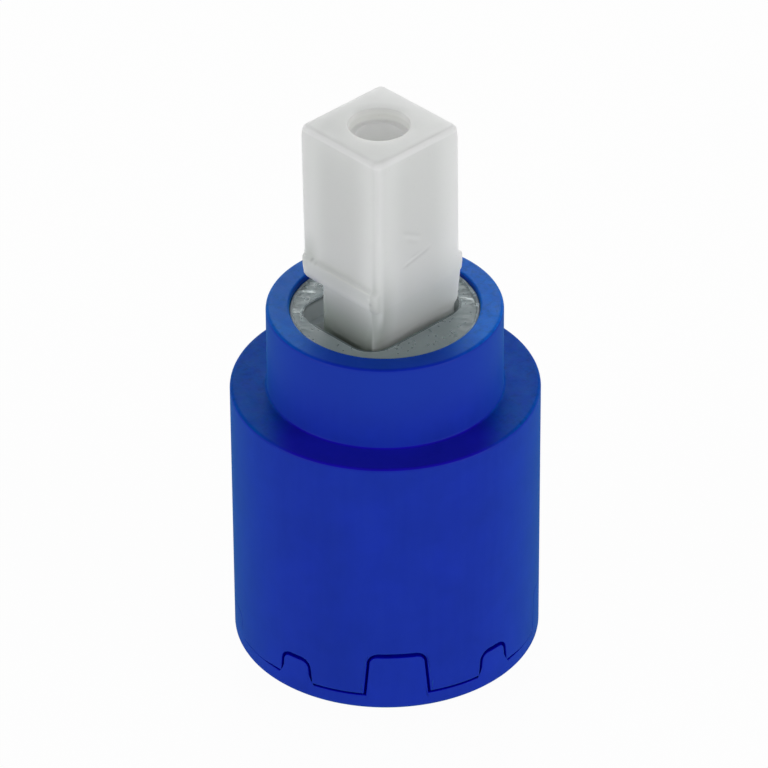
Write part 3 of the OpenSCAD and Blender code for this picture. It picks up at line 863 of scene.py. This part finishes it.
def section(z, x0, x1, y0, y1, *radii):
    """A rectangle with four round corners as one row of points, from the -X -Y corner anticlockwise.

    One radius stands for all four.
    """
    turn = np.linspace(0, math.pi / 2, 7)
    side_steps = (70, 88)
    corners = ((x0, y0, 1, 1, math.pi), (x1, y0, -1, 1, 1.5 * math.pi),
               (x1, y1, -1, -1, 0), (x0, y1, 1, -1, 0.5 * math.pi))
    arcs = []
    for (x, y, sx, sy, start), r in zip(corners, radii * 4 if len(radii) == 1 else radii):
        angle = start + turn
        arcs.append(np.stack([x + sx * r + r * np.cos(angle), y + sy * r + r * np.sin(angle)], -1))
    parts = []
    for k in range(4):
        share = np.linspace(0, 1, side_steps[k % 2] + 2)[1:-1, None]
        parts += [arcs[k], arcs[k][-1] * (1 - share) + arcs[(k + 1) % 4][0] * share]
    flat = np.vstack(parts)
    return np.column_stack([flat, np.full(len(flat), z)])


def ball_rows():
    """The ball, as round sections of a sphere, and the shank above it."""
    ball_r = 1.85
    ball_z = LEVER_LOW[2] + ball_r
    for turn in np.radians(np.arange(-80, 41, 15)):
        r = ball_r * math.cos(turn)
        yield section(ball_z + ball_r * math.sin(turn), -r, r, -r, r, r * 0.999)
    yield section(ball_z + 1.5, -1.25, 1.25, -1.6, 1.6, 0.9)
    yield section(ball_z + 2.1, -1.28, 1.28, -1.95, 1.95, 0.4)


def hub_rows():
    """The foot's hub: a cylinder about the pin up to the pin's height, with flat faces above it."""
    low = PIN_Z - math.sqrt(FOOT_FRONT**2 - 1.3**2)
    high = PIN_Z + math.sqrt(FOOT_FRONT**2 - FOOT_BACK**2)
    yield section(low - 0.02, -1.3, 1.3, -1.98, 1.98, 0.35)
    yield section(low, -1.32, 1.32, -2.05, 2.05, 0.35)
    yield section(low + 0.02, -1.34, 1.34, 0.1 - FOOT_SIDE, FOOT_SIDE - 0.1, 0.35)
    for z in np.linspace(low + 0.15, high, 18):
        reach = math.sqrt(max(FOOT_FRONT**2 - (z - PIN_Z)**2, 0)) - 0.02
        back, front, soft = reach, reach, 0.45
        if z > PIN_Z:
            back, front, soft = max(reach, FOOT_BACK), FOOT_FRONT, lever_settings().foot_round
        yield section(z, -back, front, -FOOT_SIDE, FOOT_SIDE, soft)


def foot_rows():
    """The foot: it widens towards +X up to the stem, and its -Y side draws in a little below the ledge."""
    soft = lever_settings().foot_round
    low, high = NECK_Z - 0.5, STEM_LOW_Z
    for z in np.linspace(PIN_Z + 2.6, high - 0.03, 36):
        flare = max((z - low) / (high - low), 0)
        draw = ease(z, low - 0.3, high)
        far = soft + (0.38 - soft) * ease(z, low + 0.05, low + 0.75)
        yield section(z, -FOOT_BACK - 0.2 * draw, FOOT_FRONT + (STEM_HIGH_X - FOOT_FRONT) * flare,
                      0.18 * draw - FOOT_SIDE, FOOT_SIDE - 0.05 * draw, soft, soft - 0.25 * draw, far, soft)


def ledge_rows():
    """The ledge, with a round lower edge and an upper edge that slopes in to the stem."""
    s = lever_settings()
    corner, soft = s.edge_round, 0.8
    back, left, right = STEM_LOW_X + 0.17, LEVER_LOW[1], LEVER_HIGH[1]

    def ledge(z, in_x, in_left, in_right, *radii):
        return section(z, back + in_x, STEM_HIGH_X, left + in_left, right - in_right, *radii)

    # lower edge: height above the stem's underside, how far each side is in, the +X -Y corner's radius
    for dz, in_x, in_left, in_right, front in ((0, 0.4, 0.12, 0.24, 0.5), (0.02, 0.24, 0.06, 0.2, 0.45),
                                               (0.08, 0.12, 0.03, 0.12, 0.4), (0.2, 0.04, 0, 0.06, corner)):
        yield ledge(STEM_LOW_Z + dz, in_x, in_left, in_right, soft, front, corner, 0.5)
    for share in np.linspace(0.2, 0.78, 8):
        bulge = 0.06 * (1 - ease(share, 0.1, 0.5))
        yield ledge(STEM_LOW_Z + s.ledge_h * share, bulge, 0, bulge,
                    soft - 0.2 * share, corner, corner, 0.45)

    # upper edge: height beside the ledge's own, and how far the -Y and +Y sides are in
    for dz, in_left, in_right in ((-0.2, 0, 0.02), (-0.12, 0.02, 0.08), (-0.05, 0.07, 0.17),
                                  (0.0, 0.14, 0.26), (0.05, 0.22, 0.35), (0.11, 0.3, 0.44),
                                  (0.19, 0.345, 0.52), (0.3, 0.36, 0.57)):
        yield ledge(STEM_LOW_Z + s.ledge_h + dz, 0.03 * ease(dz, -0.2, 0.3), in_left,
                    in_right - 0.14 * ease(dz, 0, 0.3), corner + (0.6 - corner) * (1 - (dz + 0.2) / 0.5),
                    corner, corner, corner)


def stem_rows():
    """The stem above the ledge, drawn in at -X and out at +Y lower down, and its top's round edges."""
    s = lever_settings()
    rise, half = STEM_LOW_Z + s.ledge_h, (STEM_HIGH_X - STEM_LOW_X) / 2
    edge_z, top_corner, small = LEVER_TOP - s.top_round, s.edge_round + 0.15, 0.12

    def stem(z, inset, soft):
        down = (LEVER_TOP - z) / (LEVER_TOP - rise)
        return section(z, STEM_LOW_X + 0.2 * down + inset, STEM_HIGH_X - inset, inset - half,
                       half + 0.04 + 0.1 * down - inset, soft)

    for z in (*np.linspace(rise + 0.42, edge_z - 0.6, 80), *np.linspace(edge_z - 0.5, edge_z - 0.08, 5)):
        yield stem(z, 0, s.edge_round + 0.15 * ease(z, edge_z - 0.6, edge_z))
    for turn in np.linspace(0, math.pi / 2, 8):
        inset = s.top_round * (1 - math.cos(turn))
        yield stem(edge_z + s.top_round * math.sin(turn), inset, max(top_corner - inset * 0.6, small))
    yield stem(LEVER_TOP, s.top_round + 0.08, small)


def hole_rows(outline):
    """The flat top, the mouth's step and the screw hole: circles whose points face the outline's."""
    s = lever_settings()
    out = outline[:, :2] - (STEM_X, 0)
    out /= np.linalg.norm(out, axis=1, keepdims=True)
    step_z = LEVER_TOP - s.mouth_h
    floor_z = step_z - mount("handle_screw")["dims"]["length_mm"]
    line = profile([(s.mouth_r + 0.9, LEVER_TOP, 0), (s.mouth_r, LEVER_TOP, 0.1), (s.mouth_r, step_z, 0.12),
                    (s.screw_r, step_z, 0.1), (s.screw_r, floor_z, 0.2), (0.4, floor_z, 0)])
    circles = [np.column_stack([out * r + (STEM_X, 0), np.full(len(out), z)]) for r, z in line]
    return np.concatenate([blend_rows(outline, circles[0], 5), circles])


def crease(y, z, start, end, width):
    """1 along a line in the face's plane, fading over width to its sides and at its ends."""
    (y0, z0), (y1, z1) = start, end
    length = math.hypot(y1 - y0, z1 - z0)
    run = ((y - y0) * (y1 - y0) + (z - z0) * (z1 - z0)) / length
    off = ((z - z0) * (y1 - y0) - (y - y0) * (z1 - z0)) / length
    return np.exp(-(off / width) ** 2) * ease(run, 0, 0.8) * (1 - ease(run, length - 0.8, length))


def mark_lever(rows):
    """Moulds the lever's marks: two slanting creases and faint ripples on its +X face, sinks and specks.

    Returns how dark each point is marked: above 0 for dark, below 0 for light. The creases' dark and pale
    lines are painted shade and painted highlight, and the dark lines along the ledge's upper edge and round
    the hole's mouth on its side away from +X -Y are painted shade.
    """
    x, y, z = rows[..., 0], rows[..., 1], rows[..., 2]
    below_top = 1 - ease(z, LEVER_TOP - 1.1, LEVER_TOP - 0.6)
    on_face = ease(x, 3.7, 3.88) * ease(z, NECK_Z + 5, NECK_Z + 5.4) * below_top

    # each crease: strength, start and end as (y, z), width
    dark_lines = ((0.34, (-2.0, 36.8), (1.5, 37.55), 0.13), (0.24, (-1.3, 37.5), (1.5, 37.72), 0.1),
                  (0.16, (-2.0, 40.35), (0.5, 39.0), 0.16), (0.12, (-1.65, 39.46), (0.2, 38.35), 0.16))
    pale_lines = ((0.3, (-2.0, 37.05), (1.5, 37.85), 0.13), (0.2, (-2.0, 40.0), (0.5, 38.7), 0.16))
    # Painted shade along the dents and painted highlight along the ridges.
    dark, pale = (sum(strength * crease(y, z, *line) for strength, *line in lines)
                  for lines in (dark_lines, pale_lines))
    ripple = 0.03 * (value_noise(y * 0.5 + 9, z * 0.4, 5) - 0.5)
    rows[..., 0] -= (0.06 * dark - 0.04 * pale + ripple) * on_face
    mark = (dark - pale) * on_face

    left_face = ease(-y, 4.2, 4.38) * ease(z, NECK_Z + 5.2, NECK_Z + 5.6) * below_top
    sink = np.exp(-((x - STEM_X) / 2.2) ** 2) * 0.04 + 0.03 * (value_noise(x * 0.5 + 3, z * 0.4, 8) - 0.5)
    rows[..., 1] += sink * left_face

    # specks by the ledge: x, z, size and strength
    by_ledge = ease(-y, 4.3, 4.45)
    for spot_x, spot_z, size, strength in ((-3.48, 35.62, 0.13, 0.7), (-2.95, 35.5, 0.1, 0.4),
                                           (3.39, 34.64, 0.13, 0.6), (3.2, 35.05, 0.14, -0.8)):
        spot = np.exp(-((x - spot_x) ** 2 + (z - spot_z) ** 2) / size ** 2)
        mark = mark + strength * spot * by_ledge
    # Painted shade: a faint dark line along the ledge's upper edge.
    mark = mark + 0.04 * np.exp(-((z - 35.62) / 0.12) ** 2) * ease(x, -4.2, -3.4) * ease(-y, 4.3, 4.4)
    # Painted shade: a dark line round the hole's mouth, on its side away from +X -Y.
    rim = np.hypot(x - STEM_X, y) + 0.001
    far_side = ease(-diagonal(x - STEM_X, y)[1] / rim, 0.5, 0.85)
    return mark + 0.35 * np.exp(-((rim - 2.5) / 0.1) ** 2) * far_side * (z > LEVER_TOP - 0.4)


class CARTRIDGE_OT_lever(bpy.types.Operator):
    """Makes the white lever as one skin of rounded sections, with its screw hole and pin bore."""
    bl_idname = "cartridge.lever"
    bl_label = "Make the lever"

    def execute(self, context):
        rows = np.stack([*ball_rows(), *hub_rows(), *foot_rows(), *ledge_rows(), *stem_rows()])
        rows = np.concatenate([rows, hole_rows(rows[-1])])
        floor_z = rows[-1, 0, 2]
        mark = mark_lever(rows)
        lever = skin("lever_moulding", rows, low_pole=(0, 0, LEVER_LOW[2]), high_pole=(STEM_X, 0, floor_z))
        layer = lever.data.attributes.new("mark", "FLOAT", "POINT")
        layer.data.foreach_set("value", np.append(mark.ravel(), [0, 0]).astype(np.float32))
        pin_r, reach = (PIN_HIGH[2] - PIN_LOW[2]) / 2 + 0.03, 8
        bore = rod("pin_bore", pin_r, -reach, reach)
        bore.data.transform(Matrix.Rotation(math.pi / 2, 4, "X"))
        carve(lever, moved(bore, 0, 0, PIN_Z))
        crisp(lever, 40)
        # Down the screw hole a lit copy of the plastic lets light in deeper, to light the hole up.
        finish_faces(lever, [lever_plastic("lever_plastic", 3.6), lever_plastic("lever_hole_plastic", 9.0)],
                     self.which)
        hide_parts("lever")
        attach(lever, "lever")
        return {"FINISHED"}

    def which(self, centre, normal):
        """1 down the screw hole, which takes the lit copy of the plastic, and 0 elsewhere."""
        radius, hole_low = np.hypot(centre[:, 0] - STEM_X, centre[:, 1]), LEVER_TOP - 13.3
        return ((radius < lever_settings().screw_r + 0.1) & (centre[:, 2] > hole_low)).astype(int)


# The grease and the inner parts

class CARTRIDGE_OT_grease(bpy.types.Operator):
    """Spreads clear grease over the collar and lays a bead of it round the collar's rim."""
    bl_idname = "cartridge.grease"
    bl_label = "Spread the grease"

    def execute(self, context):
        s = context.scene.cartridge_grease
        film = skin("grease_film", self.film_rows(s), wrap=True)
        film.data.materials.append(silicone_grease())
        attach(film, "carrier")
        bead = skin("grease_bead", self.bead_rows(s), wrap=True)
        bead.data.materials.append(worn_grease())
        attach(bead, "carrier")
        return {"FINISHED"}

    def depth(self, s, x, y):
        """Depth of the grease over the collar.

        Strokes of noise drawn out along the diagonal, thick on the -X and +Y sides, where the lever sweeps
        the grease out, and a thin film elsewhere.
        """
        along, across = diagonal(x, y)
        stroke = value_noise(along * 1.1 + 20, across * 2.4 + 20, 3)
        stroke = stroke + 0.3 * value_noise(along * 2.2 + 40, across * 5 + 7, 4)
        swept = np.maximum(ease(-x - 0.3 * y, 2.8, 4.8), ease(y + 0.5 * x, 4.4, 6.4))
        return s.film + swept * s.heap * stroke ** 3

    def film_rows(self, s):
        """The film from the slot's edge out under the bead, and its underside down in the collar."""
        slot = section(COLLAR_Z, -5.0, 4.2, -5.57, 5.57, 2.1)[:, :2]
        outer = slot / np.linalg.norm(slot, axis=1, keepdims=True) * (COLLAR_R + 0.1)
        share = np.linspace(0, 1, 46)[:, None, None]
        sheet = slot[None] * (1 - share) + outer[None] * share
        edge = ease(share[..., 0], 0, 0.06) * (1 - ease(share[..., 0], 0.95, 1))
        lift = (self.depth(s, sheet[..., 0], sheet[..., 1]) + 0.03) * edge - 0.03
        film = np.concatenate([sheet, (COLLAR_Z + lift)[..., None]], -1)
        under = film[::-1].copy()
        under[..., 2] = COLLAR_Z - 0.3
        return np.concatenate([film, under])

    def bead_rows(self, s):
        """A ring round the rim, its section an ellipse that swells with noise and stops at the bore."""
        angles = np.linspace(0, 2 * math.pi, 361)[:-1]
        turn = np.linspace(0, 2 * math.pi, 17)[:-1, None]
        x, y = np.cos(angles), np.sin(angles)
        pushed = ease(diagonal(x, y)[0], 0.1, 0.75)
        swell = 0.7 + 0.6 * value_noise(x * 6 + 30, y * 6 + 30, 6)
        swell = (swell + 0.3 * value_noise(x * 19 + 9, y * 19 + 50, 7)) * (0.9 + 0.3 * pushed)
        out = np.minimum(0.13 + s.bead_w * np.cos(turn) * np.minimum(swell, 1.2), 0.285)
        radius = COLLAR_R + out
        height = COLLAR_Z - 0.06 + s.bead_h * np.sin(turn) * swell + 0.05 * pushed
        return np.stack([radius * x, radius * y, height + 0 * radius], -1)


class CARTRIDGE_OT_inner_parts(bpy.types.Operator):
    """Gives each carried-over piece of the frame its own finish."""
    bl_idname = "cartridge.inner_parts"
    bl_label = "Finish the inner parts"

    def execute(self, context):
        plastics = {
            "driver_plastic": ((0.66, 0.66, 0.62), (0.8, 0.8, 0.77), (0.34, 0.5), 0.000006, 0.05),
            "silencer_plastic": ((0.6, 0.61, 0.58), (0.75, 0.75, 0.72), (0.4, 0.55), 0.000006, 0.05),
            "slide_plastic": ((0.8, 0.8, 0.78), (0.9, 0.9, 0.89), (0.28, 0.4), 0.000004, 0.03),
        }
        finishes = {name: moulded(name, *look).made for name, look in plastics.items()}
        finishes.update(carrier_plastic=carrier_plastic(), disc_ceramic=lapped_ceramic(),
                        pin_steel=ground_steel(), seal_rubber=seal_rubber())
        slots = {p["node"]: p["material_slot"] for p in frame["record"]["subparts"]}
        for name, obj in frame["nodes"].items():
            made = finishes.get(slots[name])
            if made is None:
                continue
            if not obj.material_slots:
                obj.data.materials.append(made)
            for place in obj.material_slots:
                place.material = made
        return {"FINISHED"}


class CARTRIDGE_OT_stage(bpy.types.Operator):
    """Sets the floor, the lights and the camera."""
    bl_idname = "cartridge.stage"
    bl_label = "Set the stage"

    def execute(self, context):
        s = context.scene.cartridge_stage
        self.make_floor()
        self.make_world(context.scene, s.sky)
        for name, turn, height, power in (
                ("left_box", -60, 12, s.left_box), ("right_box", 60, 12, s.right_box),
                ("back_box", 180, 34, s.back_box)):
            self.make_lamp(name, s.azimuth + math.radians(turn), math.radians(height), power)
        self.make_camera(context.scene, s)
        context.scene.view_settings.view_transform = "Standard"
        return {"FINISHED"}

    def make_floor(self):
        """A broad floor under the pegs that shows white, with a soft shadow left in."""
        reach, low, shown = 0.9, (BASE_LOW[2] - 0.02) * MM, 0.97
        corners = [(-reach, -reach, low), (reach, -reach, low), (reach, reach, low), (-reach, reach, low)]
        mesh = bpy.data.meshes.new("floor")
        mesh.from_pydata(corners, [], [(0, 1, 2, 3)])
        floor = bpy.data.objects.new("floor", mesh)
        bpy.context.scene.collection.objects.link(floor)
        f = Finish("floor_white")
        f.feed(Base_Color=(0.86, 0.86, 0.86, 1), Roughness=0.9, Specular_IOR_Level=0.1)
        glow = f.put("ShaderNodeEmission", {"Color": (1, 1, 1, 1), "Strength": 1.0})
        share = f.put("ShaderNodeMath", {1: shown}, {0: self.shown_white(f.tree)}, operation="MULTIPLY")
        mix = f.put("ShaderNodeMixShader", None,
                    {"Fac": share.outputs[0], 1: f.shader.outputs[0], 2: glow.outputs[0]})
        f.tree.links.new(mix.outputs[0], f.tree.nodes["Material Output"].inputs["Surface"])
        mesh.materials.append(f.made)

    def shown_white(self, tree):
        """1 for the camera's, a mirror's and a glass's rays, and 0 for the rest."""
        path = put(tree, "ShaderNodeLightPath").outputs
        return merged(tree, "MAXIMUM", path["Is Camera Ray"], path["Is Glossy Ray"],
                      path["Is Transmission Ray"])

    def make_world(self, scene, sky):
        """An even white sky, at full white where it is seen."""
        world = bpy.data.worlds.new("studio")
        world.use_nodes = True
        tree = world.node_tree
        back = tree.nodes["Background"]
        lit = put(tree, "ShaderNodeMapRange", {"To Min": sky, "To Max": 1.0},
                  {"Value": self.shown_white(tree)})
        back.inputs["Color"].default_value = (1, 1, 1, 1)
        tree.links.new(lit.outputs["Result"], back.inputs["Strength"])
        scene.world = world

    def make_lamp(self, name, azimuth, elevation, power):
        """A square soft lamp that faces the object's middle from half a metre."""
        size, distance, middle = 0.3, 0.5, Vector((0, 0, 0.025))
        data = bpy.data.lights.new(name, "AREA")
        data.size = size
        data.energy = power
        lamp = bpy.data.objects.new(name, data)
        away = Vector((math.sin(azimuth) * math.cos(elevation), -math.cos(azimuth) * math.cos(elevation),
                       math.sin(elevation)))
        lamp.location = away * distance + middle
        lamp.rotation_euler = away.to_track_quat("Z", "Y").to_euler()
        bpy.context.scene.collection.objects.link(lamp)

    def make_camera(self, scene, s):
        """The photograph's view: a long lens from between -Y and +X, a third of a right angle up."""
        back = np.array([math.sin(s.azimuth) * math.cos(s.elevation),
                         -math.cos(s.azimuth) * math.cos(s.elevation), math.sin(s.elevation)])
        across = np.array([math.cos(s.azimuth), math.sin(s.azimuth), 0])
        up = np.cross(back, across)
        right = across * math.cos(s.roll) + up * math.sin(s.roll)
        up = up * math.cos(s.roll) - across * math.sin(s.roll)
        eye = (across * s.aside + np.array([0, 0, s.aim]) + back * s.distance) * MM
        data = bpy.data.cameras.new("camera")
        data.lens = s.lens
        data.sensor_width = 36
        data.clip_start, data.clip_end = 0.01, 10
        camera = bpy.data.objects.new("camera", data)
        camera.matrix_world = Matrix([[right[k], up[k], back[k], eye[k]] for k in range(3)] + [[0, 0, 0, 1]])
        scene.collection.objects.link(camera)
        scene.camera = camera


class CARTRIDGE_PT_panel(bpy.types.Panel):
    """Lists the steps in the 3D view's sidebar."""
    bl_label = "Mixer cartridge"
    bl_idname = "CARTRIDGE_PT_panel"
    bl_space_type = "VIEW_3D"
    bl_region_type = "UI"
    bl_category = "Cartridge"

    def draw(self, context):
        for step in STEPS:
            self.layout.operator(step.bl_idname)


GROUPS = {"cartridge_body": BodySettings, "cartridge_lever": LeverSettings,
          "cartridge_grease": GreaseSettings, "cartridge_stage": StageSettings}
STEPS = (CARTRIDGE_OT_stage, CARTRIDGE_OT_housing, CARTRIDGE_OT_base, CARTRIDGE_OT_lever,
         CARTRIDGE_OT_grease, CARTRIDGE_OT_inner_parts)


def register():
    for made in (*GROUPS.values(), *STEPS, CARTRIDGE_PT_panel):
        bpy.utils.register_class(made)
    for name, group in GROUPS.items():
        setattr(bpy.types.Scene, name, PointerProperty(type=group))


def unregister():
    for name in GROUPS:
        delattr(bpy.types.Scene, name)
    for made in (CARTRIDGE_PT_panel, *STEPS, *GROUPS.values()):
        bpy.utils.unregister_class(made)


def main():
    register()
    bpy.ops.cartridge.stage()
    bpy.ops.cartridge.housing()
    bpy.ops.cartridge.base()
    bpy.ops.cartridge.lever()
    bpy.ops.cartridge.grease()
    bpy.ops.cartridge.inner_parts()


if __name__ == "__main__":
    main()
